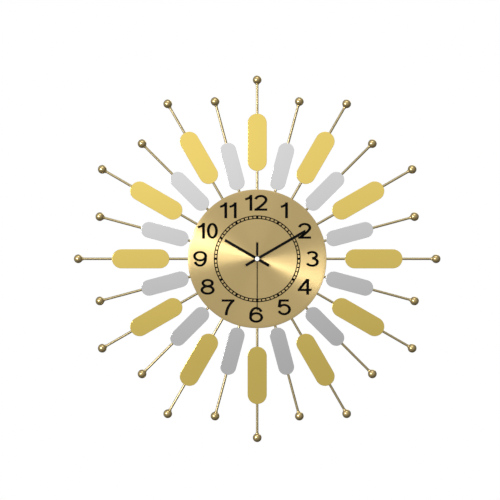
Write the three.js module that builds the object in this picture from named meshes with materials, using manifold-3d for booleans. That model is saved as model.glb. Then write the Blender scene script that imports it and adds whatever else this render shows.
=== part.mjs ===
// Sunburst wall clock with a quartz movement. Millimetres, +Z up, front facing -Y.
// The origin is on the axis of the hands, in the plane of the wall.
import * as THREE from "three";
import { mergeVertices } from "three/addons/utils/BufferGeometryUtils.js";
import Module from "manifold-3d";

const wasm = await Module();
wasm.setup();

// ---- Driving dimensions -------------------------------------------------------------------
const GAP = 0.3; // between pieces that touch on the real clock
const RAY_COUNT = 24;
const LONG_BALL_RADIUS = 317.2; // axis of the hands to the centre of a long ray's ball
const SHORT_BALL_RADIUS = 288.7;
const BALL_R = 7.75;
const ROD_R = 2.2;
const ROD_INNER = 66; // inner end of each rod
const GOLD_PLATE = { length: 101.7, width: 34, centre: 206.5 };
const SILVER_PLATE = { length: 85.7, width: 28, centre: 169.3 };
const PLATE_THICK = 2;
const PLATE_WELD = 0.4; // how far a gold plate is brazed into its rod

const DIAL_R = 122.8;
const DIAL_THICK = 1.5;
const BACK_PLATE_R = 96;
const BACK_PLATE_THICK = 2;

const CASE_HALF = 28; // half of the movement's square side
const CASE_DEPTH = 17;
const CASE_CORNER = 3;
const SIDE_WALL = 1;
const FRONT_WALL = 1.2;
const COVER_THICK = 1.5;
const BUSHING_R = 3.9;
const BUSHING_BORE_R = 2.75;
const NUT_FLATS = 12;
const NUT_THICK = 2;
const GASKET_R = 14;
const GASKET_THICK = 0.9;

const BATTERY_R = 7.1;
const BATTERY_HALF = 24.6; // half of the can, without the positive stud
const BATTERY_STUD = { radius: 2.75, height: 0.65 };
const BAY_HALF = 26.5; // half of the battery bay's length
const BAY_CLEARANCE = 0.25;
const CONTACT_THICK = 0.4;

const HOUR_HAND = { angle: 300, reach: 66.2, tail: 24.2, width: 5, boss: 5.2, slant: 0 };
const MINUTE_HAND = { angle: 60, reach: 99, tail: 23.2, width: 4.6, boss: 4.6, slant: 1.5 };
const SECOND_HAND = { angle: 180, reach: 91, tail: 29, width: 1.6, tailWidth: 3.9, thick: 0.5 };
const BLADE_THICK = 0.8;
const BOSS_PROUD = 0.2; // how far a boss stands in front of its blade
const PIPE_PROUD = 1.5; // how far a pipe reaches past the back of its hand
const HAND_GAP = 0.4; // between one pipe and the hand in front of it
const CAP_R = 3.9;
const CAP_HEIGHT = 2; // of the domed part
const CAP_RIM = 0.6;

// ---- Depths along Y: each value is the face nearer the wall unless it says front ----------
const CASE_FRONT = -CASE_DEPTH;
const GASKET_BACK = CASE_FRONT - GAP;
const DIAL_BACK = GASKET_BACK - GASKET_THICK - GAP;
const DIAL_FRONT = DIAL_BACK - DIAL_THICK;
const NUT_BACK = DIAL_FRONT - GAP;
const BUSHING_FRONT = NUT_BACK - NUT_THICK - GAP;
const RAY_Y = DIAL_BACK + GAP + ROD_R; // axis of the rods
const BACK_PLATE_BACK = RAY_Y + ROD_R + GAP + BACK_PLATE_THICK;
const HOUR_HAND_BACK = BUSHING_FRONT - HAND_GAP;
const HOUR_PIPE_FRONT = HOUR_HAND_BACK - PIPE_PROUD;
const MINUTE_HAND_BACK = HOUR_PIPE_FRONT - HAND_GAP;
const MINUTE_PIPE_FRONT = MINUTE_HAND_BACK - PIPE_PROUD;
const SECOND_HAND_BACK = MINUTE_PIPE_FRONT - HAND_GAP;
const SECOND_ARBOR_FRONT = SECOND_HAND_BACK - 1;

// ---- The wheel train ----------------------------------------------------------------------
// Wheels lie in six layers, counted from the case's front wall back towards the cover.
const LAYER_PITCH = 1.5;
const WHEEL_THICK = 1.1;
const FIRST_LAYER_FRONT = CASE_FRONT + FRONT_WALL + 0.4;
const MAGNET = { radius: 3, depth: 3.2 };
const PIVOT_R = 0.5;
const PIVOT_PLAY = 0.12;
const PIVOT_FRONT = CASE_FRONT + 0.5;
const PIVOT_BACK = -0.8;
const TEETH = {
  rotorPinion: 6, intermediateWheel: 36, intermediatePinion: 6, secondWheel: 30,
  secondPinion: 6, thirdWheel: 45, thirdPinion: 6, centreWheel: 48,
  cannonPinion: 8, motionWheel: 24, motionPinion: 6, hourWheel: 24, setPinion: 8,
};
const CENTRE = { x: 0, z: 0 };
const MOTION_ARBOR = polar(CENTRE, 9, 135);
const SET_ARBOR = polar(MOTION_ARBOR, 9, 120);
const THIRD_ARBOR = polar(CENTRE, 10, 45);
const INTERMEDIATE_ARBOR = polar(CENTRE, 9, -10);
const ROTOR_ARBOR = polar(INTERMEDIATE_ARBOR, 8.4, -10);
const SET_KNOB_R = 7;

// ---- Colours ------------------------------------------------------------------------------
const FINISH = {
  gold: [0xc9a64d, 0.25, 1],
  mirrorSilver: [0xc4c4c6, 0.08, 1],
  spunGold: [0xb99e68, 0.35, 1],
  blackPaint: [0x0b0b0b, 0.4, 0],
  blackPlastic: [0x1b1b1d, 0.55, 0],
  whitePlastic: [0xe8e6dc, 0.5, 0],
  rubber: [0x202020, 0.8, 0],
  brass: [0xb08d45, 0.3, 1],
  steel: [0xb8bbbe, 0.3, 1],
  copper: [0xa85a2a, 0.4, 1],
  board: [0x1f6b3a, 0.5, 0],
  label: [0x4a5560, 0.4, 0],
};

// ---- Helpers ------------------------------------------------------------------------------
function polar(from, distance, degrees) {
  const angle = THREE.MathUtils.degToRad(degrees);
  return { x: from.x + distance * Math.cos(angle), z: from.z + distance * Math.sin(angle) };
}

/** Merges shared vertices and turns the faces outwards. */
function closed(geometry) {
  const bare = geometry.clone();
  for (const key of Object.keys(bare.attributes)) {
    if (key !== "position") bare.deleteAttribute(key);
  }
  const merged = mergeVertices(bare, 1e-4);
  const index = Array.from(merged.index.array);
  const position = merged.attributes.position;
  const corner = [0, 1, 2].map(() => new THREE.Vector3());
  const kept = [];
  let volume = 0;
  for (let i = 0; i < index.length; i += 3) {
    const face = index.slice(i, i + 3);
    if (new Set(face).size < 3) continue;
    face.forEach((vertex, k) => corner[k].fromBufferAttribute(position, vertex));
    volume += corner[0].dot(corner[1].clone().cross(corner[2]));
    kept.push(face);
  }
  merged.setIndex((volume < 0 ? kept.map((face) => [face[0], face[2], face[1]]) : kept).flat());
  return merged;
}

function toManifold(geometry) {
  const solid = closed(geometry);
  return new wasm.Manifold(new wasm.Mesh({
    numProp: 3,
    vertProperties: new Float32Array(solid.attributes.position.array),
    triVerts: new Uint32Array(solid.index.array),
  }));
}

function fromManifold(manifold) {
  const mesh = manifold.getMesh();
  const geometry = new THREE.BufferGeometry();
  geometry.setAttribute("position", new THREE.BufferAttribute(new Float32Array(mesh.vertProperties), 3));
  geometry.setIndex(Array.from(mesh.triVerts));
  return geometry;
}

function join(first, ...others) {
  return fromManifold(others.reduce((sum, other) => sum.add(toManifold(other)), toManifold(first)));
}

function cut(first, ...others) {
  return fromManifold(others.reduce((rest, other) => rest.subtract(toManifold(other)), toManifold(first)));
}

/** A shape drawn in X and Z, as thick as from front to back along Y. */
function prism(shape, front, back, curveSegments = 8) {
  const geometry = new THREE.ExtrudeGeometry(shape, {
    depth: back - front,
    bevelEnabled: false,
    curveSegments,
  });
  return geometry.rotateX(Math.PI / 2).translate(0, back, 0);
}

/** A solid of revolution about a line along Y through `at`; the profile holds [radius, y]. */
function turned(profile, at = CENTRE, segments = 16) {
  const points = profile.map(([radius, y]) => new THREE.Vector2(radius, y));
  return new THREE.LatheGeometry(points, segments).translate(at.x, 0, at.z);
}

function rod(radius, front, back, at = CENTRE, segments = 16) {
  return turned([[0, front], [radius, front], [radius, back], [0, back]], at, segments);
}

function tube(outer, inner, front, back, at = CENTRE, segments = 24) {
  const profile = [[inner, front], [outer, front], [outer, back], [inner, back], [inner, front]];
  return turned(profile, at, segments);
}

function block(x, y, z) {
  const size = [x[1] - x[0], y[1] - y[0], z[1] - z[0]];
  const geometry = new THREE.BoxGeometry(...size);
  return geometry.translate((x[0] + x[1]) / 2, (y[0] + y[1]) / 2, (z[0] + z[1]) / 2);
}

function circle(radius, at = CENTRE) {
  return new THREE.Shape().absarc(at.x, at.z, radius, 0, 2 * Math.PI);
}

function polygon(points) {
  return new THREE.Shape(points.map(([x, z]) => new THREE.Vector2(x, z)));
}

/** A rectangle with half-round ends, long in Z. */
function stadium(length, width, centre) {
  const end = width / 2;
  const straight = length / 2 - end;
  const shape = new THREE.Shape();
  shape.absarc(0, centre + straight, end, 0, Math.PI);
  shape.absarc(0, centre - straight, end, Math.PI, 2 * Math.PI);
  shape.closePath();
  return shape;
}

function roundedSquare(half, corner) {
  const inner = half - corner;
  const shape = new THREE.Shape();
  [[1, 1], [-1, 1], [-1, -1], [1, -1]].forEach(([sx, sz], quarter) => {
    const start = quarter * Math.PI / 2;
    shape.absarc(sx * inner, sz * inner, corner, start, start + Math.PI / 2);
  });
  shape.closePath();
  return shape;
}

function piece(name, finish, geometry) {
  const [color, roughness, metalness] = FINISH[finish];
  const mesh = new THREE.Mesh(
    closed(geometry),
    new THREE.MeshStandardMaterial({ color, roughness, metalness }),
  );
  mesh.name = name;
  return mesh;
}

// ---- Gears --------------------------------------------------------------------------------
const ADDENDUM = 0.75; // of the module
const DEDENDUM = 1.15;
const ROOT_SHARE = 0.25; // half width of a tooth at its root, as a share of the pitch
const TIP_SHARE = 0.09;

function layerFront(layer) {
  return FIRST_LAYER_FRONT + (layer - 1) * LAYER_PITCH;
}

/** Where gear b's first tooth points, so that it meshes with gear a's. Angles are from +X to +Z. */
function meshedPhase(a, phaseA, teethA, b, teethB) {
  const towards = Math.atan2(b.z - a.z, b.x - a.x);
  return towards + Math.PI + (towards - phaseA) * teethA / teethB + Math.PI / teethB;
}

function gear(teeth, module, at, phase, layer) {
  const pitch = 2 * Math.PI / teeth;
  const root = module * (teeth / 2 - DEDENDUM);
  const tip = module * (teeth / 2 + ADDENDUM);
  const points = [];
  for (let tooth = 0; tooth < teeth; tooth += 1) {
    const middle = phase + tooth * pitch;
    const corners = [[root, -ROOT_SHARE], [tip, -TIP_SHARE], [tip, TIP_SHARE], [root, ROOT_SHARE]];
    for (const [radius, share] of corners) {
      const angle = middle + share * pitch;
      points.push([at.x + radius * Math.cos(angle), at.z + radius * Math.sin(angle)]);
    }
  }
  const front = layerFront(layer);
  return prism(polygon(points), front, front + WHEEL_THICK);
}

function distance(a, b) {
  return Math.hypot(a.x - b.x, a.z - b.z);
}

/** The module at which two gears on these arbors just mesh. */
function meshedModule(a, teethA, b, teethB) {
  return 2 * distance(a, b) / (teethA + teethB);
}

/** Both gears of a meshing pair, in one layer. */
function gearPair(a, teethA, b, teethB, layer, phaseA = 0) {
  const module = meshedModule(a, teethA, b, teethB);
  const phaseB = meshedPhase(a, phaseA, teethA, b, teethB);
  return {
    first: gear(teethA, module, a, phaseA, layer),
    second: gear(teethB, module, b, phaseB, layer),
    phaseB,
  };
}

const PAIRS = {
  hourAndMotion: gearPair(CENTRE, TEETH.hourWheel, MOTION_ARBOR, TEETH.motionPinion, 1),
  cannonAndMotion: gearPair(CENTRE, TEETH.cannonPinion, MOTION_ARBOR, TEETH.motionWheel, 2),
  centreAndThird: gearPair(CENTRE, TEETH.centreWheel, THIRD_ARBOR, TEETH.thirdPinion, 3),
  secondAndThird: gearPair(CENTRE, TEETH.secondPinion, THIRD_ARBOR, TEETH.thirdWheel, 4),
  secondAndIntermediate: gearPair(
    CENTRE, TEETH.secondWheel, INTERMEDIATE_ARBOR, TEETH.intermediatePinion, 5),
  intermediateAndRotor: gearPair(
    INTERMEDIATE_ARBOR, TEETH.intermediateWheel, ROTOR_ARBOR, TEETH.rotorPinion, 6),
};
PAIRS.motionAndSet = gearPair(
  MOTION_ARBOR, TEETH.motionWheel, SET_ARBOR, TEETH.setPinion, 2, PAIRS.cannonAndMotion.phaseB);

const HOUR_PIPE = { outer: 2.5, inner: 1.75 };
const MINUTE_PIPE = { outer: 1.4, inner: 0.8 };
const POST_R = 0.45;
const POST_BORE_R = 0.62;

function hourWheel() {
  const body = join(
    PAIRS.hourAndMotion.first,
    rod(HOUR_PIPE.outer, HOUR_PIPE_FRONT, layerFront(1) + WHEEL_THICK, CENTRE, 24),
  );
  return cut(body, rod(HOUR_PIPE.inner, HOUR_PIPE_FRONT - 1, layerFront(2), CENTRE, 24));
}

function motionWheel() {
  const bore = rod(POST_BORE_R, CASE_FRONT, layerFront(3), MOTION_ARBOR, 12);
  const sleeve = rod(1, layerFront(1), layerFront(2) + WHEEL_THICK, MOTION_ARBOR, 12);
  return cut(join(PAIRS.hourAndMotion.second, PAIRS.cannonAndMotion.second, sleeve), bore);
}

function centreWheel() {
  const back = layerFront(3) + WHEEL_THICK;
  const body = join(
    PAIRS.centreAndThird.first,
    PAIRS.cannonAndMotion.first,
    rod(MINUTE_PIPE.outer, MINUTE_PIPE_FRONT, back, CENTRE, 20),
  );
  return cut(body, rod(MINUTE_PIPE.inner, MINUTE_PIPE_FRONT - 1, back + 1, CENTRE, 20));
}

function thirdWheel() {
  return join(
    PAIRS.secondAndThird.second,
    PAIRS.centreAndThird.second,
    rod(PIVOT_R, PIVOT_FRONT, PIVOT_BACK, THIRD_ARBOR, 12),
  );
}

function secondWheel() {
  return join(
    PAIRS.secondAndIntermediate.first,
    PAIRS.secondAndThird.first,
    rod(PIVOT_R, SECOND_ARBOR_FRONT, PIVOT_BACK, CENTRE, 12),
  );
}

function intermediateWheel() {
  const front = layerFront(5);
  const back = layerFront(6) + WHEEL_THICK;
  const sleeve = rod(0.85, front, back, INTERMEDIATE_ARBOR, 12);
  const bore = rod(POST_BORE_R, front - 1, back + 1, INTERMEDIATE_ARBOR, 12);
  return cut(join(PAIRS.intermediateAndRotor.first, PAIRS.secondAndIntermediate.second, sleeve), bore);
}

const MAGNET_FRONT = layerFront(6) + WHEEL_THICK + 0.4;

function motorRotor() {
  return join(
    PAIRS.intermediateAndRotor.second,
    rod(PIVOT_R, PIVOT_FRONT, PIVOT_BACK, ROTOR_ARBOR, 12),
    rod(MAGNET.radius, MAGNET_FRONT, MAGNET_FRONT + MAGNET.depth, ROTOR_ARBOR, 16),
  );
}

function setKnob() {
  const notches = 20;
  const points = [];
  for (let i = 0; i < 2 * notches; i += 1) {
    const { x, z } = polar(SET_ARBOR, i % 2 ? SET_KNOB_R : SET_KNOB_R - 0.5, i * 180 / notches);
    points.push([x, z]);
  }
  return join(
    prism(polygon(points), -COVER_THICK, -GAP),
    rod(1, layerFront(2), -COVER_THICK + 0.5, SET_ARBOR, 12),
    rod(PIVOT_R, PIVOT_FRONT, layerFront(2) + 0.5, SET_ARBOR, 12),
    PAIRS.motionAndSet.second,
  );
}

// ---- The motor and its electronics --------------------------------------------------------
const STATOR = { front: MAGNET_FRONT + 0.9, back: MAGNET_FRONT + 2.3 };
const COIL = { x: [14.9, 23.6], z: 20, flange: 3, winding: 2.4, flangeThick: 0.8, core: 1 };
const BOARD = { x: [-26, -12.5], y: [-4, -3], z: [-10, 5] };
const CRYSTAL = { x: -22, z: [-6, 2], radius: 1.5 };

function statorPlate() {
  const [coilLeft, coilRight] = COIL.x;
  const left = coilLeft - GAP;
  const right = coilRight + GAP;
  const outline = polygon([
    [left - 2.2, -9], [right + 2.2, -9], [right + 2.2, 24], [right, 24],
    [right, 4], [left, 4], [left, 24], [left - 2.2, 24],
  ]);
  outline.holes.push(circle(MAGNET.radius + 0.7, ROTOR_ARBOR));
  return prism(outline, STATOR.front, STATOR.back, 12);
}

/** A bobbin about a line along X. */
function driveCoil() {
  const [start, end] = COIL.x;
  const profile = [
    [0, start], [COIL.flange, start], [COIL.flange, start + COIL.flangeThick],
    [COIL.winding, start + COIL.flangeThick], [COIL.winding, end - COIL.flangeThick],
    [COIL.flange, end - COIL.flangeThick], [COIL.flange, end], [0, end],
  ];
  const middle = (STATOR.front + STATOR.back) / 2;
  return turned(profile, CENTRE, 16).rotateZ(-Math.PI / 2).translate(0, middle, COIL.z);
}

function circuitBoard() {
  return block(BOARD.x, BOARD.y, BOARD.z);
}

/** A sealed can lying on the board, along Z. */
function quartzCrystal() {
  const [start, end] = CRYSTAL.z;
  const profile = [[0, start], [CRYSTAL.radius, start], [CRYSTAL.radius, end], [0, end]];
  const y = BOARD.y[0] - GAP - CRYSTAL.radius;
  return turned(profile, CENTRE, 12).rotateX(Math.PI / 2).translate(CRYSTAL.x, y, 0);
}

// ---- Battery and its contacts -------------------------------------------------------------
const BAY_BOTTOM = -CASE_HALF + SIDE_WALL;
const BATTERY_Z = BAY_BOTTOM + BAY_CLEARANCE + BATTERY_R;
const BAY_TOP = BATTERY_Z + BATTERY_R + BAY_CLEARANCE;
const BAY_FRONT = CASE_FRONT + FRONT_WALL;
const BATTERY_Y = BAY_FRONT + BAY_CLEARANCE + BATTERY_R;

function aaBattery() {
  const stud = BATTERY_HALF + BATTERY_STUD.height;
  const profile = [
    [0, -BATTERY_HALF], [BATTERY_R - 0.6, -BATTERY_HALF], [BATTERY_R, -BATTERY_HALF + 0.6],
    [BATTERY_R, BATTERY_HALF - 0.6], [BATTERY_R - 0.6, BATTERY_HALF],
    [BATTERY_STUD.radius, BATTERY_HALF], [BATTERY_STUD.radius, stud], [0, stud],
  ];
  return turned(profile, CENTRE, 24).rotateZ(-Math.PI / 2).translate(0, BATTERY_Y, BATTERY_Z);
}

/** A flat strip against the bay's end wall. */
function positiveContact() {
  const wall = BAY_HALF - 0.1;
  return block(
    [wall - CONTACT_THICK, wall], [BATTERY_Y - 5, BATTERY_Y + 5], [BATTERY_Z - 4, BATTERY_Z + 4]);
}

/** A strip against the other end wall, bent out in the middle to press on the can. */
function negativeContact() {
  const wall = -BAY_HALF + 0.1;
  const crest = -BATTERY_HALF - GAP - 0.4;
  const middle = BATTERY_Y;
  const outline = polygon([
    [wall, middle - 6], [wall + CONTACT_THICK, middle - 6], [wall + CONTACT_THICK, middle - 4],
    [crest, middle - 1], [crest, middle + 1], [wall + CONTACT_THICK, middle + 4],
    [wall + CONTACT_THICK, middle + 6], [wall, middle + 6],
  ]);
  const strip = new THREE.ExtrudeGeometry(outline, { depth: 7, bevelEnabled: false });
  return strip.translate(0, 0, BATTERY_Z - 3.5);
}

// ---- The movement's case ------------------------------------------------------------------
function movementCase() {
  const shell = join(
    prism(roundedSquare(CASE_HALF, CASE_CORNER), CASE_FRONT, -COVER_THICK - GAP, 4),
    rod(BUSHING_R, BUSHING_FRONT, CASE_FRONT + 0.5, CENTRE, 32),
  );
  const inside = CASE_HALF - SIDE_WALL;
  const open = [CASE_FRONT + FRONT_WALL, 1];
  const trainRoom = block([-inside, inside], open, [BAY_TOP + SIDE_WALL, inside]);
  const bay = block([-BAY_HALF, BAY_HALF], open, [BAY_BOTTOM, BAY_TOP]);
  const bore = rod(BUSHING_BORE_R, BUSHING_FRONT - 1, CASE_FRONT + FRONT_WALL + 1, CENTRE, 24);
  const pivots = [THIRD_ARBOR, ROTOR_ARBOR, SET_ARBOR].map(
    (at) => rod(PIVOT_R + PIVOT_PLAY, PIVOT_FRONT - 0.1, open[0] + 1, at, 12));
  const post = rod(POST_R, CASE_FRONT + 0.5, layerFront(2) + WHEEL_THICK - 0.2, MOTION_ARBOR, 12);
  return join(cut(shell, trainRoom, bay, bore, ...pivots), post);
}

function movementCover() {
  const plate = prism(roundedSquare(CASE_HALF, CASE_CORNER), -COVER_THICK, 0, 4);
  const window = block([-BAY_HALF, BAY_HALF], [-COVER_THICK - 1, 1], [BAY_BOTTOM, BAY_TOP]);
  const knobHole = rod(SET_KNOB_R + 0.5, -COVER_THICK - 1, 1, SET_ARBOR, 24);
  const pivots = [CENTRE, THIRD_ARBOR, ROTOR_ARBOR].map(
    (at) => rod(PIVOT_R + PIVOT_PLAY, -COVER_THICK - 1, PIVOT_BACK + 0.2, at, 12));
  const post = rod(POST_R, layerFront(5) + 0.2, -COVER_THICK + 0.5, INTERMEDIATE_ARBOR, 12);
  return join(cut(plate, window, knobHole, ...pivots), post);
}

function rubberGasket() {
  return tube(GASKET_R, BUSHING_R + GAP, GASKET_BACK - GASKET_THICK, GASKET_BACK, CENTRE, 32);
}

function hexNut() {
  const corner = NUT_FLATS / Math.sqrt(3);
  const corners = [0, 1, 2, 3, 4, 5].map((i) => polar(CENTRE, corner, 60 * i));
  const outline = polygon(corners.map(({ x, z }) => [x, z]));
  outline.holes.push(circle(BUSHING_R + GAP));
  return prism(outline, NUT_BACK - NUT_THICK, NUT_BACK, 12);
}

// ---- Dial and back plate ------------------------------------------------------------------
function dialPlate() {
  const edge = 0.5;
  const bore = BUSHING_R + GAP;
  const profile = [
    [bore, DIAL_FRONT], [DIAL_R - edge, DIAL_FRONT], [DIAL_R, DIAL_FRONT + edge],
    [DIAL_R, DIAL_BACK], [bore, DIAL_BACK], [bore, DIAL_FRONT],
  ];
  return turned(profile, CENTRE, 96);
}

const KEYHOLE = { z: 50, top: 58, headR: 4.6, shankR: 2.3 };

/** A disc that the rods are welded to, with a window for the movement and a keyhole to hang by. */
function backPlate() {
  const front = BACK_PLATE_BACK - BACK_PLATE_THICK;
  const half = CASE_HALF + 0.5;
  const through = [front - 1, BACK_PLATE_BACK + 1];
  const slot = stadium(KEYHOLE.top - KEYHOLE.z + 2 * KEYHOLE.shankR, 2 * KEYHOLE.shankR,
    (KEYHOLE.z + KEYHOLE.top) / 2);
  return cut(
    rod(BACK_PLATE_R, front, BACK_PLATE_BACK, CENTRE, 48),
    block([-half, half], through, [-half, half]),
    rod(KEYHOLE.headR, through[0], through[1], { x: 0, z: KEYHOLE.z }, 16),
    prism(slot, through[0], through[1], 6),
  );
}

// ---- Rays ---------------------------------------------------------------------------------
/** A rod along Z that ends in a ball. */
function rodWithBall(ballRadius) {
  const steps = 8;
  const neck = Math.asin(ROD_R / BALL_R);
  const profile = [[0, ROD_INNER], [ROD_R, ROD_INNER]];
  for (let step = 0; step <= steps; step += 1) {
    const angle = neck + (Math.PI - neck) * step / steps;
    const radius = step === steps ? 0 : BALL_R * Math.sin(angle);
    profile.push([radius, ballRadius - BALL_R * Math.cos(angle)]);
  }
  return turned(profile, CENTRE, 14).rotateX(Math.PI / 2).translate(0, RAY_Y, 0);
}

function plate(size, back) {
  return prism(stadium(size.length, size.width, size.centre), back - PLATE_THICK, back, 8);
}

function longRay() {
  return join(rodWithBall(LONG_BALL_RADIUS), plate(GOLD_PLATE, RAY_Y - ROD_R + PLATE_WELD));
}

function rays() {
  const group = new THREE.Group();
  for (let i = 0; i < RAY_COUNT; i += 1) {
    const number = String(Math.floor(i / 2) + 1).padStart(2, "0");
    const ray = new THREE.Group();
    ray.rotation.y = 2 * Math.PI * i / RAY_COUNT;
    if (i % 2 === 0) {
      ray.add(piece(`long_ray_${number}`, "gold", longRay()));
    } else {
      ray.add(piece(`short_ray_${number}`, "gold", rodWithBall(SHORT_BALL_RADIUS)));
      ray.add(piece(`silver_plate_${number}`, "mirrorSilver", plate(SILVER_PLATE, RAY_Y - ROD_R - GAP)));
    }
    group.add(ray);
  }
  return group;
}

// ---- Hands --------------------------------------------------------------------------------
/** Turns a hand that was drawn at twelve to its place on the dial, in degrees clockwise. */
function atClock(degrees, mesh) {
  mesh.rotation.y = THREE.MathUtils.degToRad(degrees);
  return mesh;
}

function batonHand(hand, back, boreR) {
  const half = hand.width / 2;
  const outline = polygon([
    [-half, -hand.tail], [half, -hand.tail], [half, hand.reach - hand.slant], [-half, hand.reach],
  ]);
  const blade = prism(outline, back - BLADE_THICK, back);
  const boss = rod(hand.boss, back - BLADE_THICK - BOSS_PROUD, back, CENTRE, 24);
  return cut(join(blade, boss), rod(boreR, back - 3, back + 1, CENTRE, 20));
}

function secondHand() {
  const back = SECOND_HAND_BACK;
  const half = SECOND_HAND.width / 2;
  const tailHalf = SECOND_HAND.tailWidth / 2;
  const neck = CAP_R + 1;
  const outline = polygon([
    [-tailHalf, -SECOND_HAND.tail], [tailHalf, -SECOND_HAND.tail], [tailHalf, -neck - 2], [half, -neck],
    [half, SECOND_HAND.reach], [-half, SECOND_HAND.reach], [-half, -neck], [-tailHalf, -neck - 2],
  ]);
  const rim = back - CAP_RIM;
  const cap = [[0, back], [CAP_R, back]];
  for (let step = 0; step <= 3; step += 1) {
    const angle = (Math.PI / 2) * step / 3;
    cap.push([step === 3 ? 0 : CAP_R * Math.cos(angle), rim - CAP_HEIGHT * Math.sin(angle)]);
  }
  const body = join(prism(outline, back - SECOND_HAND.thick, back), turned(cap, CENTRE, 20));
  return cut(body, rod(PIVOT_R + GAP, SECOND_ARBOR_FRONT - GAP, back + 1, CENTRE, 12));
}

// ---- Assembly -----------------------------------------------------------------------------
const clock = new THREE.Group();
clock.add(
  rays(),
  piece("back_plate", "gold", backPlate()),
  piece("dial_plate", "spunGold", dialPlate()),
  piece("hex_nut", "brass", hexNut()),
  piece("rubber_gasket", "rubber", rubberGasket()),
  piece("movement_case", "blackPlastic", movementCase()),
  piece("movement_cover", "blackPlastic", movementCover()),
  piece("hour_wheel", "brass", hourWheel()),
  piece("motion_wheel", "whitePlastic", motionWheel()),
  piece("centre_wheel", "brass", centreWheel()),
  piece("third_wheel", "whitePlastic", thirdWheel()),
  piece("second_wheel", "whitePlastic", secondWheel()),
  piece("intermediate_wheel", "whitePlastic", intermediateWheel()),
  piece("motor_rotor", "steel", motorRotor()),
  piece("set_knob", "whitePlastic", setKnob()),
  piece("stator_plate", "steel", statorPlate()),
  piece("drive_coil", "copper", driveCoil()),
  piece("circuit_board", "board", circuitBoard()),
  piece("quartz_crystal", "steel", quartzCrystal()),
  piece("battery_contact_positive", "steel", positiveContact()),
  piece("battery_contact_negative", "steel", negativeContact()),
  piece("aa_battery", "label", aaBattery()),
  atClock(HOUR_HAND.angle,
    piece("hour_hand", "blackPaint", batonHand(HOUR_HAND, HOUR_HAND_BACK, HOUR_PIPE.outer + GAP))),
  atClock(MINUTE_HAND.angle,
    piece("minute_hand", "blackPaint",
      batonHand(MINUTE_HAND, MINUTE_HAND_BACK, MINUTE_PIPE.outer + GAP))),
  atClock(SECOND_HAND.angle, piece("second_hand", "blackPaint", secondHand())),
);

export default clock;
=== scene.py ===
"""The looks of a sunburst wall clock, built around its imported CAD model.

Metres, +Z up, with the dial facing -Y.
"""
import math
import random

import bmesh
import bpy
from mathutils import Matrix, Vector


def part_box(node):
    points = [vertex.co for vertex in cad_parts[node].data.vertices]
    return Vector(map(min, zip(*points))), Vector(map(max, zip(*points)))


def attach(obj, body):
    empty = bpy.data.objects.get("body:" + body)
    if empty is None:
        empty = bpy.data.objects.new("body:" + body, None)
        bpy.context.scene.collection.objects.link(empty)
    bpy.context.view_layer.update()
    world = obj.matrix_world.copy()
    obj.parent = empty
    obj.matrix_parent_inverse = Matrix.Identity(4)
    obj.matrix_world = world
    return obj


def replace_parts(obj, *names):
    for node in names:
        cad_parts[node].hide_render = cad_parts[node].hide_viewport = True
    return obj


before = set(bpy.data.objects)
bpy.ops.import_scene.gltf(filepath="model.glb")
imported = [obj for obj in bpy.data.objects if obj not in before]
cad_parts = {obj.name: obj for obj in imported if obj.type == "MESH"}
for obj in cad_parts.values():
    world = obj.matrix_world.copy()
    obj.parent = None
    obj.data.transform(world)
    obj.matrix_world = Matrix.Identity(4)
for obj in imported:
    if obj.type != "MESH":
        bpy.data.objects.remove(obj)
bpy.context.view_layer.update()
BODY = "frame"
MM = 0.001

# ---- Sizes and places ---------------------------------------------------------------------
RAY_COUNT = 24
ROD_R = 2.2 * MM
BALL_R = 7.75 * MM
ROD_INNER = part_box("long_ray_01")[0].z
LONG_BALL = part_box("long_ray_01")[1].z - BALL_R
SHORT_BALL = 288.7 * MM
GOLD_PLATE = (101.7 * MM, 34 * MM, 206.5 * MM)  # length, width, radius of its middle
SILVER_PLATE = (85.7 * MM, 28 * MM, 169.3 * MM)
PLATE_THICK = 2 * MM
PLATE_WELD = 0.4 * MM  # how far a gold plate is let into its rod
PLATE_LEAN = math.radians(0.12)  # how far out of true a plate may sit
RAY_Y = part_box("short_ray_01")[1].y - BALL_R
PLATE_FRONT = RAY_Y - ROD_R + PLATE_WELD - PLATE_THICK
SILVER_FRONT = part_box("silver_plate_01")[0].y
DIAL_LOW, DIAL_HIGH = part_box("dial_plate")
DIAL_R = DIAL_HIGH.x
DIAL_FRONT = DIAL_LOW.y
DIAL_BACK = DIAL_HIGH.y
TRACK_INNER = 71.3 * MM
TRACK_OUTER = 76.0 * MM
NUMERAL_HEIGHT = 28 * MM
NUMERAL_RADIUS = 99.2 * MM
NUMERAL_SHIFT = -1.9 * MM
INK = 0.12 * MM


# ---- Mesh helpers -------------------------------------------------------------------------
def add_object(name, mesh, material, body=BODY):
    obj = bpy.data.objects.new(name, mesh)
    bpy.context.scene.collection.objects.link(obj)
    mesh.materials.append(material)
    if body:
        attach(obj, body)
    return obj


def mesh_from(name, build, smooth_angle=35):
    """A mesh that build(bm) fills, with faces out and smooth shading up to an angle."""
    bm = bmesh.new()
    build(bm)
    bmesh.ops.remove_doubles(bm, verts=bm.verts, dist=1e-7)
    bmesh.ops.recalc_face_normals(bm, faces=bm.faces)
    limit = math.radians(smooth_angle)
    for face in bm.faces:
        face.smooth = len(face.verts) <= 4
    for edge in bm.edges:
        if len(edge.link_faces) == 2 and edge.calc_face_angle(0) > limit:
            edge.smooth = False
    mesh = bpy.data.meshes.new(name)
    bm.to_mesh(mesh)
    bm.free()
    return mesh


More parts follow.
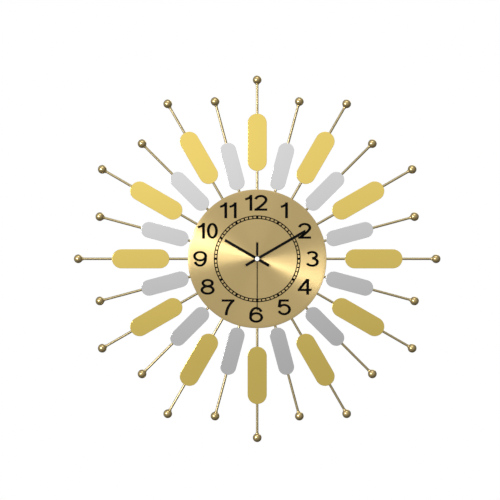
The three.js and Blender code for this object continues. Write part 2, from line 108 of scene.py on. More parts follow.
def lathe(bm, profile, place, segments=48):
    """Revolves [radius, along] pairs; place(across, up, along) gives each point."""
    rings = []
    for radius, along in profile:
        if radius < 1e-9:
            rings.append([bm.verts.new(place(0, 0, along))])
            continue
        ring = []
        for k in range(segments):
            turn = 2 * math.pi * k / segments
            ring.append(bm.verts.new(place(radius * math.cos(turn), radius * math.sin(turn), along)))
        rings.append(ring)
    for low, high in zip(rings, rings[1:]):
        for k in range(segments):
            quad = [low[k % len(low)], low[(k + 1) % len(low)],
                    high[(k + 1) % len(high)], high[k % len(high)]]
            corners = list(dict.fromkeys(quad))
            if len(corners) > 2:
                bm.faces.new(corners)


def along_y(across, up, along):
    return Vector((across, along, up))


def on_ray(across, up, along):
    """A ray drawn at twelve: along is the distance from the axis of the hands."""
    return Vector((across, RAY_Y + up, along))


def arc_profile(radius, middle, start, end, steps):
    """Profile points on a circle about (0, middle), by angle from the far pole, in degrees."""
    points = []
    for k in range(steps + 1):
        angle = math.radians(start + (end - start) * k / steps)
        points.append((max(0.0, radius * math.sin(angle)), middle + radius * math.cos(angle)))
    return points


def stadium(length, width, middle, steps=20):
    """The outline of a bar with round ends, long in Z, as (x, z, outward normal x, outward normal z)."""
    end = width / 2
    straight = length / 2 - end
    points = []
    for k in range(2 * (steps + 1)):
        side = 0 if k <= steps else 1
        angle = math.pi * (k - side) / steps
        centre = middle + (straight if side == 0 else -straight)
        nx, nz = math.cos(angle), math.sin(angle)
        points.append((end * nx, centre + end * nz, nx, nz))
    return points


def rounded_slab(bm, outline, front, back, edge, steps=4):
    """A slab with rounded edges on its front."""
    levels = [(0.0, back)]
    for k in range(steps + 1):
        angle = math.pi / 2 * k / steps
        levels.append((edge * (1 - math.cos(angle)), front + edge * (1 - math.sin(angle))))
    rings = []
    for inset, y in levels:
        rings.append([bm.verts.new((x - nx * inset, y, z - nz * inset)) for x, z, nx, nz in outline])
    for low, high in zip(rings, rings[1:]):
        for k in range(len(low)):
            following = (k + 1) % len(low)
            bm.faces.new((low[k], low[following], high[following], high[k]))
    bm.faces.new(rings[0])
    bm.faces.new(rings[-1])


def turned_to(mesh, degrees):
    """Turns a mesh drawn at twelve clockwise about the axis of the hands."""
    mesh.transform(Matrix.Rotation(math.radians(degrees), 4, "Y"))
    return mesh


# ---- Materials ----------------------------------------------------------------------------
NOISE_RANGE = (0.3, 0.7)  # where most of a noise factor lies


def new_material(name, color, roughness, metallic=0.0, **sockets):
    """A Principled material; sockets are set by name on the shader itself."""
    material = bpy.data.materials.new(name)
    material.use_nodes = True
    shader = material.node_tree.nodes["Principled BSDF"]
    shader.inputs["Base Color"].default_value = (*color, 1)
    shader.inputs["Roughness"].default_value = roughness
    shader.inputs["Metallic"].default_value = metallic
    for socket, value in sockets.items():
        shader.inputs[socket.replace("_", " ")].default_value = value
    return material


def add_noise(material, scale, stretch=(1, 1, 1), detail=3.0):
    """Noise in the object's own coordinates; returns its factor socket."""
    nodes, links = material.node_tree.nodes, material.node_tree.links
    place = nodes.new("ShaderNodeTexCoord")
    mapping = nodes.new("ShaderNodeMapping")
    mapping.inputs["Scale"].default_value = stretch
    noise = nodes.new("ShaderNodeTexNoise")
    noise.inputs["Scale"].default_value = scale
    noise.inputs["Detail"].default_value = detail
    links.new(place.outputs["Object"], mapping.inputs["Vector"])
    links.new(mapping.outputs["Vector"], noise.inputs["Vector"])
    return noise.outputs["Fac"]


def remap(tree, factor, start, end, low, high):
    """Maps a factor from start..end to low..high; returns the Map Range node."""
    ranged = tree.nodes.new("ShaderNodeMapRange")
    ranged.inputs["From Min"].default_value = start
    ranged.inputs["From Max"].default_value = end
    ranged.inputs["To Min"].default_value = low
    ranged.inputs["To Max"].default_value = high
    tree.links.new(factor, ranged.inputs["Value"])
    return ranged


def vary(material, socket, factor, low, high):
    """Drives a number of the shader with a factor, between two values."""
    tree = material.node_tree
    ranged = remap(tree, factor, *NOISE_RANGE, low, high)
    tree.links.new(ranged.outputs["Result"], tree.nodes["Principled BSDF"].inputs[socket])


def vary_color(material, factor, low, high):
    nodes, links = material.node_tree.nodes, material.node_tree.links
    mix = nodes.new("ShaderNodeMix")
    mix.data_type = "RGBA"
    mix.inputs["A"].default_value = (*low, 1)
    mix.inputs["B"].default_value = (*high, 1)
    links.new(factor, mix.inputs["Factor"])
    links.new(mix.outputs["Result"], nodes["Principled BSDF"].inputs["Base Color"])


def add_bump(material, factor, distance, strength=1.0):
    nodes, links = material.node_tree.nodes, material.node_tree.links
    bump = nodes.new("ShaderNodeBump")
    bump.inputs["Distance"].default_value = distance
    bump.inputs["Strength"].default_value = strength
    links.new(factor, bump.inputs["Height"])
    links.new(bump.outputs["Normal"], nodes["Principled BSDF"].inputs["Normal"])


def metal(name, color, roughness, waviness=0.0, tint=0.06, polish=(0.7, 1.5)):
    """Plated metal: uneven polish, a slight change of tint, and a wavy surface if asked for."""
    material = new_material(name, color, roughness, metallic=1.0)
    vary(material, "Roughness", add_noise(material, 90, detail=6),
         roughness * polish[0], roughness * polish[1])
    darker = tuple(c * (1 - tint) for c in color)
    vary_color(material, add_noise(material, 25), darker, color)
    if waviness:
        add_bump(material, add_noise(material, 22, detail=1), waviness)
    return material


def spun_metal():
    """Metal turned on a lathe: fine rings about the axis of the hands, which pull highlights into rays."""
    material = new_material("spun_gold", (0.70, 0.52, 0.24), 0.30, metallic=1.0, Anisotropic=0.95,
                            Anisotropic_Rotation=0.25)
    nodes, links = material.node_tree.nodes, material.node_tree.links
    shader = nodes["Principled BSDF"]
    tangent = nodes.new("ShaderNodeTangent")
    tangent.direction_type = "RADIAL"
    tangent.axis = "Y"
    links.new(tangent.outputs["Tangent"], shader.inputs["Tangent"])
    place = nodes.new("ShaderNodeTexCoord")
    flat = nodes.new("ShaderNodeVectorMath")
    flat.operation = "MULTIPLY"
    flat.inputs[1].default_value = (1, 0, 1)
    radius = nodes.new("ShaderNodeVectorMath")
    radius.operation = "LENGTH"
    links.new(place.outputs["Object"], flat.inputs[0])
    links.new(flat.outputs["Vector"], radius.inputs[0])
    rings = nodes.new("ShaderNodeTexNoise")
    rings.noise_dimensions = "1D"
    rings.inputs["Scale"].default_value = 900
    rings.inputs["Detail"].default_value = 4
    links.new(radius.outputs["Value"], rings.inputs["W"])
    vary_color(material, rings.outputs["Fac"], (0.70, 0.525, 0.235), (0.755, 0.565, 0.255))
    vary(material, "Roughness", rings.outputs["Fac"], 0.275, 0.295)
    return material


def plastic(name, color, roughness, grain=0.00004, **sockets):
    material = new_material(name, color, roughness, **sockets)
    speckle = add_noise(material, 1500, detail=2)
    add_bump(material, speckle, grain)
    lighter = tuple(min(1.0, c * 1.2 + 0.0005) for c in color)
    vary_color(material, add_noise(material, 60), color, lighter)
    vary(material, "Roughness", speckle, roughness * 0.9, roughness * 1.1)
    return material


GOLD = metal("gold_plating", (0.70, 0.54, 0.25), 0.20, polish=(0.85, 1.2))
ROD_GOLD = metal("rod_plating", (0.56, 0.455, 0.24), 0.32, polish=(0.94, 1.08))
GOLD_MIRROR = metal("gold_mirror", (0.97, 0.735, 0.185), 0.012, waviness=0.000012, tint=0.02)
SILVER_MIRROR = metal("silver_mirror", (0.79, 0.79, 0.79), 0.012, waviness=0.000012, tint=0.02)
SPUN = spun_metal()
BACK_GOLD = metal("back_plating", (0.70, 0.56, 0.30), 0.36, tint=0.03, polish=(0.93, 1.1))
BRASS = metal("brass", (0.78, 0.60, 0.28), 0.25)
STEEL = metal("steel", (0.68, 0.69, 0.70), 0.28)
COPPER = metal("copper_wire", (0.70, 0.32, 0.14), 0.35)
SOLDER = metal("braze", (0.62, 0.50, 0.28), 0.42, waviness=0.0004, tint=0.25)
BLACK_PAINT = plastic("black_paint", (0.002, 0.002, 0.002), 0.42, grain=0.00002, Specular_IOR_Level=0.08)
INK_BLACK = plastic("printing_ink", (0.001, 0.001, 0.001), 0.55, grain=0.00001, Specular_IOR_Level=0.03)
WHITE_CAP = plastic("white_enamel", (0.90, 0.90, 0.90), 0.15, grain=0.000005)
BLACK_PLASTIC = plastic("black_plastic", (0.018, 0.018, 0.020), 0.5)
WHITE_PLASTIC = plastic("white_plastic", (0.80, 0.79, 0.74), 0.4, grain=0.00001)
RUBBER = plastic("rubber", (0.02, 0.02, 0.02), 0.8)
BOARD = plastic("circuit_board_green", (0.02, 0.14, 0.05), 0.4)
JACKET = plastic("battery_jacket", (0.015, 0.02, 0.03), 0.22, grain=0.000005)


# ---- Rays ---------------------------------------------------------------------------------
def rod_mesh(name, ball_at):
    edge = 0.4 * MM
    profile = [(0, ROD_INNER), (ROD_R - edge, ROD_INNER), (ROD_R, ROD_INNER + edge)]
    steps = 24
    end = ball_at - BALL_R + 0.6 * MM
    for k in range(1, steps + 1):
        profile.append((ROD_R, ROD_INNER + edge + (end - ROD_INNER - edge) * k / steps))
    profile.append((0, end))
    return mesh_from(name, lambda bm: lathe(bm, profile, on_ray, 24))


def ball_mesh(name, ball_at):
    """A turned ball with a short collar where the rod enters it."""
    collar = 1.1 * MM
    profile = [(0, ball_at - BALL_R - collar), (ROD_R + 0.5 * MM, ball_at - BALL_R - collar)]
    profile.append((ROD_R + 0.9 * MM, ball_at - BALL_R - 0.3 * MM))
    profile += arc_profile(BALL_R, ball_at, 156, 0, 22)
    return mesh_from(name, lambda bm: lathe(bm, profile, on_ray, 40))


def plate_mesh(name, size, front, edge=0.3 * MM):
    length, width, middle = size
    outline = stadium(length, width, middle)
    return mesh_from(name, lambda bm: rounded_slab(bm, outline, front, front + PLATE_THICK, edge))


def bead_mesh(name, at, length, up):
    """A bead of braze along a rod, uneven as a hand leaves it."""
    wobble = random.Random(name)

    def build(bm):
        profile = []
        steps = 10
        for k in range(steps + 1):
            share = math.sin(math.pi * k / steps)
            radius = 0.0
            if k not in (0, steps):
                radius = (ROD_R * 0.55 + 0.35 * MM * wobble.random()) * share + ROD_R * 0.25
            profile.append((radius, at - length / 2 + length * k / steps))
        lathe(bm, profile, lambda across, rise, along: Vector((across * 1.9, up + rise * 0.7, along)), 16)

    return mesh_from(name, build)


def build_rays():
    tilt = random.Random(7)
    for i in range(RAY_COUNT):
        number = f"{i // 2 + 1:02d}"
        is_long = i % 2 == 0
        kind = "long" if is_long else "short"
        degrees = 360 * i / RAY_COUNT
        ball_at = LONG_BALL if is_long else SHORT_BALL
        rod = add_object(f"{kind}_rod_{number}", turned_to(rod_mesh("rod", ball_at), degrees), ROD_GOLD)
        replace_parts(rod, f"{kind}_ray_{number}")
        add_object(f"{kind}_ball_{number}", turned_to(ball_mesh("ball", ball_at), degrees), GOLD)
        size = GOLD_PLATE if is_long else SILVER_PLATE
        front = PLATE_FRONT if is_long else SILVER_FRONT
        mesh = plate_mesh("plate", size, front)
        lean = [tilt.uniform(-PLATE_LEAN, PLATE_LEAN) for _ in range(2)]
        pivot = Vector((0, front + PLATE_THICK / 2, size[2]))
        turn = Matrix.Rotation(lean[0], 4, "X") @ Matrix.Rotation(lean[1], 4, "Z")
        mesh.transform(Matrix.Translation(pivot) @ turn @ Matrix.Translation(-pivot))
        name = f"gold_mirror_{number}" if is_long else f"silver_mirror_{number}"
        material = GOLD_MIRROR if is_long else SILVER_MIRROR
        plate = add_object(name, turned_to(mesh, degrees), material)
        if not is_long:
            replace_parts(plate, f"silver_plate_{number}")
        for place, (at, length, up) in enumerate((
            (size[2] - size[0] * 0.3, 9 * MM, RAY_Y - ROD_R * 0.8),
            (size[2] + size[0] * 0.3, 9 * MM, RAY_Y - ROD_R * 0.8),
            (ROD_INNER + 14 * MM, 12 * MM, RAY_Y + ROD_R * 0.8),
        )):
            bead = turned_to(bead_mesh(f"bead_{i}_{place}", at, length, up), degrees)
            add_object(f"braze_{i + 1:02d}_{place + 1}", bead, SOLDER)


# ---- Dial ---------------------------------------------------------------------------------
def build_dial():
    bore = 4.2 * MM
    edge = 0.5 * MM
    profile = [(bore, DIAL_FRONT)]
    for k in range(1, 25):
        profile.append((bore + (DIAL_R - edge - bore) * k / 24, DIAL_FRONT))
    for k in range(1, 6):
        angle = math.pi / 2 * k / 5
        profile.append((DIAL_R - edge + edge * math.sin(angle), DIAL_FRONT + edge - edge * math.cos(angle)))
    profile += [(DIAL_R, DIAL_BACK - 0.2 * MM), (DIAL_R - 0.2 * MM, DIAL_BACK), (bore, DIAL_BACK)]
    profile.append((bore, DIAL_FRONT))
    mesh = mesh_from("dial", lambda bm: lathe(bm, profile, along_y, 256))
    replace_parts(add_object("dial", mesh, SPUN), "dial_plate")


def flat_ring(bm, inner, outer, back, front, segments=240):
    profile = [(inner, back), (outer, back), (outer, front), (inner, front), (inner, back)]
    lathe(bm, profile, along_y, segments)


def flat_bar(bm, low, high, half, degrees, back, front):
    """A bar from one radius to another, at a clock angle."""
    turn = Matrix.Rotation(math.radians(degrees), 3, "Y")
    corners = [(-half, low), (half, low), (half, high), (-half, high)]
    rows = []
    for y in (back, front):
        rows.append([bm.verts.new(turn @ Vector((x, y, z))) for x, z in corners])
    bm.faces.new(rows[0])
    bm.faces.new(rows[1])
    for k in range(4):
        following = (k + 1) % 4
        bm.faces.new((rows[0][k], rows[0][following], rows[1][following], rows[1][k]))


def build_track():
    back, front = DIAL_FRONT + 0.02 * MM, DIAL_FRONT - INK

    def build(bm):
        line = 0.85 * MM
        flat_ring(bm, TRACK_INNER - line, TRACK_INNER + line, back, front)
        flat_ring(bm, TRACK_OUTER - line, TRACK_OUTER + line, back, front)
        for minute in range(60):
            half = (2.1 if minute % 5 == 0 else 1.1) * MM
            flat_bar(bm, TRACK_INNER, TRACK_OUTER, half, 6 * minute, back, front)

    add_object("minute_track", mesh_from("track", build), INK_BLACK)


# ---- Numerals: pen strokes in a box one unit high -----------------------------------------
PEN_ACROSS = 0.178  # of the height, for an upright stroke
PEN_ALONG = 0.140  # for a level stroke
TOP = 0.5 - PEN_ALONG / 2
LETTER_GAP = 0.12
WIDTHS = {
    "0": 0.70, "1": 0.48, "2": 0.84, "3": 0.86, "4": 0.91,
    "5": 0.87, "6": 0.89, "7": 0.84, "8": 0.90, "9": 0.89,
}


def arc(x, z, across, up, start, end, steps=28):
    points = []
    for k in range(steps + 1):
        angle = math.radians(start + (end - start) * k / steps)
        points.append((x + across * math.cos(angle), z + up * math.sin(angle)))
    return points


def bend(start, pull, end, steps=12):
    """A quadratic curve from start to end, drawn towards pull."""
    points = []
    for k in range(steps + 1):
        t = k / steps
        points.append(tuple((1 - t) ** 2 * a + 2 * t * (1 - t) * b + t * t * c
                            for a, b, c in zip(start, pull, end)))
    return points


def digit_strokes(digit):
    """(points, closed) for each stroke of a digit, about the middle of its box."""
    w = WIDTHS[digit] / 2 - PEN_ACROSS / 2
    if digit == "0":
        return [(arc(0, 0, w, TOP, 0, 360)[:-1], True)]
    if digit == "1":
        return [([(w, -0.5), (w, 0.5)], False),
                (bend((w, 0.42), (w - 0.12, 0.27), (-w - 0.06, 0.22)), False)]
    if digit == "2":
        top = arc(0, 0.19, w, TOP - 0.19, 172, -28)
        return [(top + bend(top[-1], (w * 0.45, -0.12), (-w + 0.02, -TOP))[1:], False),
                ([(-w - 0.075, -TOP), (w + 0.075, -TOP)], False)]
    if digit == "3":
        return [(arc(-0.01, 0.235, w * 0.86, TOP - 0.235, 158, -90), False),
                (arc(0, -0.205, w, TOP - 0.205, 90, -160), False)]
    if digit == "4":
        stem = w * 0.52
        return [([(stem, -0.5), (stem, 0.5)], False), ([(stem - 0.02, 0.46), (-w, -0.19)], False),
                ([(-w - 0.075, -0.20), (w + 0.075, -0.20)], False)]
    if digit == "5":
        left = -w * 0.72
        return [([(left - 0.04, TOP), (w * 0.86, TOP)], False),
                ([(left, TOP + 0.06), (left - 0.07, 0.0)], False),
                (arc(0, -0.14, w, TOP - 0.14, 148, -163), False)]
    if digit == "6":
        return [(arc(0, -0.165, w, TOP - 0.165, 0, 360)[:-1], True),
                (arc(0.01, -0.02, w, TOP + 0.02, 190, 28), False)]
    if digit == "7":
        return [([(-w - 0.075, TOP), (w + 0.075, TOP)], False),
                (bend((w, TOP - 0.01), (-w * 0.25, 0.08), (-w * 0.38, -0.5)), False)]
    if digit == "8":
        return [(arc(0, 0.235, w * 0.84, TOP - 0.235, 0, 360)[:-1], True),
                (arc(0, -0.20, w, TOP - 0.20, 0, 360)[:-1], True)]
    return [([(-x, -z) for x, z in points], is_closed) for points, is_closed in digit_strokes("6")]


def pen_edges(points, is_closed):
    """The two edges of a stroke, drawn with a pen wider across than along."""
    count = len(points)
    left, right = [], []
    for k, (x, z) in enumerate(points):
        before = points[k - 1] if (k or is_closed) else points[k]
        after = points[(k + 1) % count] if (k + 1 < count or is_closed) else points[k]
        dx, dz = after[0] - before[0], after[1] - before[1]
        length = math.hypot(dx, dz)
        nx, nz = dz / length, -dx / length
        half = math.hypot(nx * PEN_ACROSS, nz * PEN_ALONG) / 2
        left.append((x - nx * half, z - nz * half))
        right.append((x + nx * half, z + nz * half))
    return left, right


def draw_stroke(bm, points, is_closed, at_x, at_z, scale, back, front):
    left, right = pen_edges(points, is_closed)
    rows = []
    for edge in (left, right):
        for y in (back, front):
            rows.append([bm.verts.new((at_x + x * scale, y, at_z + z * scale)) for x, z in edge])
    left_back, left_front, right_back, right_front = rows
    count = len(points)
    for k in range(count if is_closed else count - 1):
        n = (k + 1) % count
        for a, b in ((left_front, right_front), (right_back, left_back), (left_back, left_front),
                     (right_front, right_back)):
            bm.faces.new((a[k], b[k], b[n], a[n]))
    if not is_closed:
        for k in (0, count - 1):
            bm.faces.new((left_back[k], right_back[k], right_front[k], left_front[k]))


def build_numerals():
    for hour in range(1, 13):
        text = str(hour)
        angle = math.radians(30 * hour)
        width = sum(WIDTHS[c] for c in text) + LETTER_GAP * (len(text) - 1)
        at_x = NUMERAL_RADIUS * math.sin(angle) + NUMERAL_SHIFT
        at_z = NUMERAL_RADIUS * math.cos(angle)

        def build(bm, text=text, width=width, at_x=at_x, at_z=at_z):
            x = -width / 2
            stroke_number = 0
            for character in text:
                middle = x + WIDTHS[character] / 2
                for points, is_closed in digit_strokes(character):
                    front = DIAL_FRONT - INK - 0.01 * MM * stroke_number
                    draw_stroke(bm, points, is_closed, at_x + middle * NUMERAL_HEIGHT, at_z, NUMERAL_HEIGHT,
                                DIAL_FRONT + 0.02 * MM, front)
                    stroke_number += 1
                x += WIDTHS[character] + LETTER_GAP

        add_object(f"numeral_{hour:02d}", mesh_from("numeral", build), INK_BLACK)


# ---- Hands, at their sizes in the CAD model -----------------------------------------------
HOUR_BATON = {"degrees": 300, "reach": 66.2 * MM, "tail": 24.2 * MM, "width": 5.0 * MM,
              "boss": 5.2 * MM, "slant": 0, "bore": 2.8 * MM}
MINUTE_BATON = {"degrees": 60, "reach": 99 * MM, "tail": 23.2 * MM, "width": 4.6 * MM,
                "boss": 4.6 * MM, "slant": 1.5 * MM, "bore": 1.7 * MM}
PIPE_CLEARANCE = 0.5 * MM
BOSS_PROUD = 0.2 * MM  # how far a boss stands in front of its blade
SECOND_THICK = 0.5 * MM
CAP_R = 3.9 * MM
CAP_RIM = 0.6 * MM


def bevelled_prism(bm, points, back, front, edge):
    """An outline in X and Z made solid, with its edges eased."""
    rows = []
    for y in (back, front):
        rows.append([bm.verts.new((x, y, z)) for x, z in points])
    faces = [bm.faces.new(rows[0]), bm.faces.new(rows[1])]
    count = len(points)
    for k in range(count):
        n = (k + 1) % count
        faces.append(bm.faces.new((rows[0][k], rows[0][n], rows[1][n], rows[1][k])))
    bmesh.ops.recalc_face_normals(bm, faces=faces)
    edges = list(dict.fromkeys(e for face in faces for e in face.edges))
    bmesh.ops.bevel(bm, geom=edges, offset=edge, segments=2, profile=0.5, affect="EDGES")


def baton(name, node, body, degrees, reach, tail, width, boss, slant, bore):
    low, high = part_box(node)
    front, back = low.y, high.y
    half = width / 2

    def blade(bm):
        """The pointer and the tail, each starting inside the ring of the boss, clear of the pipe."""
        inner = bore + PIPE_CLEARANCE
        pointer = [(-half, inner), (half, inner), (half, reach - slant), (-half, reach)]
        counterweight = [(-half, -tail), (half, -tail), (half, -inner), (-half, -inner)]
        for outline in (pointer, counterweight):
            bevelled_prism(bm, outline, back, front + BOSS_PROUD, 0.12 * MM)

    def collet(bm):
        edge = 0.25 * MM
        lathe(bm, [(bore, back), (boss, back), (boss, front + edge), (boss - edge, front), (bore, front),
                   (bore, back)], along_y, 48)

    piece = add_object(name, turned_to(mesh_from(name, blade), degrees), BLACK_PAINT, body)
    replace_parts(piece, node)
    add_object(f"{name}_boss", mesh_from("boss", collet), BLACK_PAINT, body)


def build_second_hand():
    low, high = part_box("second_hand")
    back = high.y
    half, tail_half = 0.8 * MM, 1.95 * MM
    neck, shoulder, tail, reach = 4.9 * MM, 6.9 * MM, 29 * MM, 91 * MM

    def blade(bm):
        outline = [(-tail_half, -tail), (tail_half, -tail), (tail_half, -shoulder), (half, -neck),
                   (half, reach), (-half, reach), (-half, -neck), (-tail_half, -shoulder)]
        bevelled_prism(bm, outline, back, back - SECOND_THICK, 0.1 * MM)

    def cap(bm):
        edge, steps = 0.2 * MM, 12
        rim = back - CAP_RIM
        profile = [(0, back), (CAP_R - edge, back), (CAP_R, back - edge), (CAP_R, rim)]
        for k in range(1, steps + 1):
            angle = math.pi / 2 * k / steps
            radius = CAP_R * math.cos(angle) if k < steps else 0
            profile.append((radius, rim - (rim - low.y) * math.sin(angle)))
        lathe(bm, profile, along_y, 48)

    piece = add_object("second_pointer", turned_to(mesh_from("second", blade), 180), BLACK_PAINT,
                       "second_train")
    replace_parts(piece, "second_hand")
    add_object("hand_cap", mesh_from("cap", cap), WHITE_CAP, "second_train")


def build_hands():
    baton("hour_baton", "hour_hand", "hour_train", **HOUR_BATON)
    baton("minute_baton", "minute_hand", "minute_train", **MINUTE_BATON)
    build_second_hand()


# ---- Battery ------------------------------------------------------------------------------
def build_battery():
    low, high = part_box("aa_battery")
    middle = (low + high) / 2
    radius = (high.z - low.z) / 2
    stud = 0.65 * MM
    end = high.x - stud
    start = low.x
    band = start + (end - start) * 0.72  # where the copper end of the jacket starts

    def place(across, up, along):
        return Vector((along, middle.y + across, middle.z + up))

    def can(bm):
        profile = [(radius - 0.9 * MM, start + 0.3 * MM), (radius - 0.5 * MM, start),
                   (radius, start + 0.5 * MM), (radius, band)]
        lathe(bm, profile + [(radius - 0.05 * MM, band)], place, 64)

    def crown(bm):
        profile = [(radius, band), (radius, end - 0.5 * MM), (radius - 0.5 * MM, end),
                   (radius - 1.4 * MM, end - 0.15 * MM)]
        lathe(bm, profile, place, 64)

    def ends(bm):
        profile = [(0, start + 0.3 * MM), (radius - 0.9 * MM, start + 0.3 * MM),
                   (radius - 1.5 * MM, start + 0.5 * MM), (radius - 1.5 * MM, end - 0.2 * MM),
                   (2.9 * MM, end - 0.2 * MM), (2.75 * MM, end + stud - 0.2 * MM),
                   (2.5 * MM, end + stud), (0, end + stud)]
        lathe(bm, profile, place, 48)

    piece = add_object("battery_can", mesh_from("can", can), JACKET, "battery")
    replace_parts(piece, "aa_battery")
    add_object("battery_crown", mesh_from("crown", crown), COPPER, "battery")
    add_object("battery_ends", mesh_from("ends", ends), STEEL, "battery")


# ---- CAD nodes with their edges eased, and those that keep their shape --------------------
EASED = {
    "back_plate": (BACK_GOLD, 0.35, "gold_metal", BODY), "hex_nut": (BRASS, 0.30, "brass", BODY),
    "movement_case": (BLACK_PLASTIC, 0.25, "black_plastic", BODY),
    "movement_cover": (BLACK_PLASTIC, 0.25, "black_plastic", BODY),
    "set_knob": (WHITE_PLASTIC, 0.15, "white_plastic", "setting_knob"),
}


def ease_edges(node, material, width, body):
    """A copy of a CAD node's mesh with its sharp edges bevelled, shown in the node's place."""
    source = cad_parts[node]
    bm = bmesh.new()
    bm.from_mesh(source.data)
    bm.transform(source.matrix_world)
    bmesh.ops.remove_doubles(bm, verts=bm.verts, dist=1e-6)
    bmesh.ops.dissolve_limit(bm, angle_limit=math.radians(1), verts=bm.verts, edges=bm.edges)
    sharp = [e for e in bm.edges if len(e.link_faces) == 2 and e.calc_face_angle(0) > math.radians(40)]
    bmesh.ops.bevel(bm, geom=sharp, offset=width * MM, segments=2, profile=0.5, affect="EDGES",
                    clamp_overlap=True)
    for face in bm.faces:
        face.smooth = False
    mesh = bpy.data.meshes.new(node + "_eased")
    bm.to_mesh(mesh)
    bm.free()
    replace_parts(add_object(node + "_eased", mesh, material, body), node)


KEPT = {
    "rubber_gasket": RUBBER, "hour_wheel": BRASS, "centre_wheel": BRASS, "motion_wheel": WHITE_PLASTIC,
    "third_wheel": WHITE_PLASTIC, "second_wheel": WHITE_PLASTIC, "intermediate_wheel": WHITE_PLASTIC,
    "motor_rotor": STEEL, "stator_plate": STEEL, "drive_coil": COPPER,
    "circuit_board": BOARD, "quartz_crystal": STEEL, "battery_contact_positive": STEEL,
    "battery_contact_negative": STEEL,
}


def dress_cad_nodes():
    for node, (material, width, slot, body) in EASED.items():
        ease_edges(node, material, width, body)
    for node, material in KEPT.items():
        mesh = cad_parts[node].data
        mesh.materials.clear()
        mesh.materials.append(material)


# ---- Studio -------------------------------------------------------------------------------
VIEW_WIDTH = 0.8855  # of the picture, at the clock
SENSOR = 36  # mm
CAMERA_PLACE = Vector((-0.01275, -3.5, 0.0156))  # the clock is a little off the picture's middle
CARD_DISTANCE = 4.2
CARD_HALF = 1.1
CARD_REACH = 0.55  # how far from the middle of the card its glow changes
CARD_UPWARD = (0.52, 0.90)  # its glow at the bottom and at the top
CARD_RIGHTWARD = (1.05, 0.90)  # times this at the left and at the right
ROOM_GLOW = (("X", 1.30, 0.60), ("Y", 0.66, 0.14), ("Z", 0.38, 1.42))  # towards -1 and +1 of each axis
SIDE_PANELS = (  # name, clock angle, width, watts
    ("panel_upper", 291, 0.16, 12), ("panel_middle", 284, 0.22, 10.5), ("panel_lower", 270, 0.34, 9),
)
SOFT_LIGHTS = (  # name, place, size, watts
    ("soft_above", (0, -1.5, 2.5), (2.0, 1.2), 12), ("soft_behind", (0.9, 2.6, 1.5), (1.8, 1.8), 16),
)
FLOOR_R = 4.5
FLOOR_Z = -1.1


def build_camera():
    data = bpy.data.cameras.new("camera")
    data.sensor_width = SENSOR
    data.lens = SENSOR * (PLATE_FRONT - CAMERA_PLACE.y) / VIEW_WIDTH
    camera = bpy.data.objects.new("camera", data)
    camera.location = CAMERA_PLACE
    camera.rotation_euler = (math.pi / 2, 0, 0)
    bpy.context.scene.collection.objects.link(camera)
    bpy.context.scene.camera = camera


def studio_light(name, place, size, power):
    """A soft panel that faces the middle of the clock."""
    data = bpy.data.lights.new(name, "AREA")
    data.shape = "RECTANGLE"
    data.size, data.size_y = size
    data.energy = power
    light = bpy.data.objects.new(name, data)
    light.location = place
    light.rotation_euler = (-Vector(place)).to_track_quat("-Z", "Y").to_euler()
    bpy.context.scene.collection.objects.link(light)
    return light


def side_light(name, clock_degrees, width, power, reach=1.5, forward=2.0, length=1.1):
    """A narrow panel in front of the dial, towards a clock angle, long in the direction of the axis."""
    angle = math.radians(clock_degrees)
    place = Vector((reach * math.sin(angle), -forward, reach * math.cos(angle)))
    light = studio_light(name, place, (width, length), power)
    back = place.normalized()
    across = Vector((math.cos(angle), 0, -math.sin(angle)))
    light.rotation_euler = Matrix((across, back.cross(across), back)).transposed().to_euler()


def build_world():
    """White to the camera; to the metal, a room that is brighter in front, above and at the left."""
    world = bpy.data.worlds.new("studio")
    bpy.context.scene.world = world
    world.use_nodes = True
    nodes, links = world.node_tree.nodes, world.node_tree.links
    output = nodes["World Output"]
    room = nodes["Background"]
    place = nodes.new("ShaderNodeTexCoord")
    split = nodes.new("ShaderNodeSeparateXYZ")
    links.new(place.outputs["Generated"], split.inputs["Vector"])
    factors = []
    for axis, low, high in ROOM_GLOW:
        ranged = remap(world.node_tree, split.outputs[axis], -1, 1, low, high)
        factors.append(ranged.outputs["Result"])
    strength = factors[0]
    for factor in factors[1:]:
        product = nodes.new("ShaderNodeMath")
        product.operation = "MULTIPLY"
        links.new(strength, product.inputs[0])
        links.new(factor, product.inputs[1])
        strength = product.outputs["Value"]
    links.new(strength, room.inputs["Strength"])
    room.inputs["Color"].default_value = (1, 1, 1, 1)
    backdrop = nodes.new("ShaderNodeBackground")
    backdrop.inputs["Color"].default_value = (1, 1, 1, 1)
    path = nodes.new("ShaderNodeLightPath")
    mix = nodes.new("ShaderNodeMixShader")
    direct = nodes.new("ShaderNodeMath")
    direct.operation = "MAXIMUM"
    links.new(path.outputs["Is Camera Ray"], direct.inputs[0])
    links.new(path.outputs["Is Diffuse Ray"], direct.inputs[1])
    links.new(direct.outputs["Value"], mix.inputs["Fac"])
    links.new(room.outputs["Background"], mix.inputs[1])
    links.new(backdrop.outputs["Background"], mix.inputs[2])
    links.new(mix.outputs["Shader"], output.inputs["Surface"])


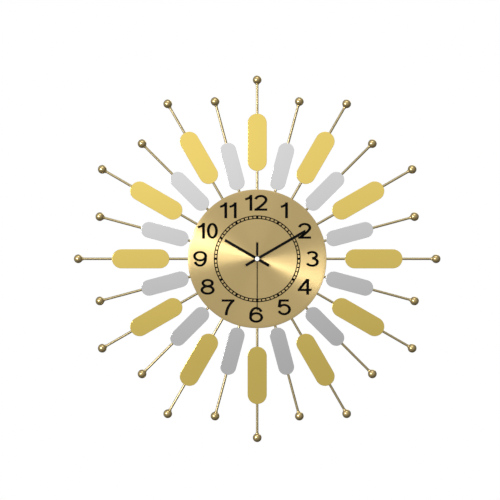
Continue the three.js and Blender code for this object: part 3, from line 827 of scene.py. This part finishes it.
def soft_card_material():
    """A plain lit card: a glow that falls off smoothly downwards and to the right."""
    material = bpy.data.materials.new("soft_card")
    material.use_nodes = True
    nodes, links = material.node_tree.nodes, material.node_tree.links
    nodes.remove(nodes["Principled BSDF"])
    glow = nodes.new("ShaderNodeEmission")
    place = nodes.new("ShaderNodeTexCoord")
    split = nodes.new("ShaderNodeSeparateXYZ")
    links.new(place.outputs["Object"], split.inputs["Vector"])
    product = nodes.new("ShaderNodeMath")
    product.operation = "MULTIPLY"
    for socket, (axis, low, high) in enumerate((("Z", *CARD_UPWARD), ("X", *CARD_RIGHTWARD))):
        ranged = remap(material.node_tree, split.outputs[axis], -CARD_REACH, CARD_REACH, low, high)
        ranged.interpolation_type = "SMOOTHSTEP"
        links.new(ranged.outputs["Result"], product.inputs[socket])
    links.new(product.outputs["Value"], glow.inputs["Strength"])
    links.new(glow.outputs["Emission"], nodes["Material Output"].inputs["Surface"])
    return material


def stage_mesh(name, corners, material):
    """One flat face that belongs to the studio."""
    mesh = bpy.data.meshes.new(name)
    mesh.from_pydata(corners, [], [list(range(len(corners)))])
    obj = add_object(name, mesh, material, body=None)
    return obj


def build_studio():
    rim = []
    for degrees in range(0, 360, 5):
        angle = math.radians(degrees)
        rim.append((FLOOR_R * math.cos(angle), FLOOR_R * math.sin(angle), FLOOR_Z))
    floor = stage_mesh("floor", rim, plastic("pale_floor", (0.74, 0.74, 0.735), 0.8))
    floor.visible_glossy = False
    corners = [(x * CARD_HALF, -CARD_DISTANCE, z * CARD_HALF)
               for x, z in ((-1, -1), (1, -1), (1, 1), (-1, 1))]
    card = stage_mesh("soft_card", corners, soft_card_material())
    card.visible_camera = False
    for panel in SIDE_PANELS:
        side_light(*panel)
    for light in SOFT_LIGHTS:
        studio_light(*light)


# ---- Assembly -----------------------------------------------------------------------------
build_camera()
build_rays()
build_dial()
build_track()
build_numerals()
build_hands()
build_battery()
dress_cad_nodes()
build_world()
build_studio()
bpy.context.scene.view_settings.view_transform = "Standard"
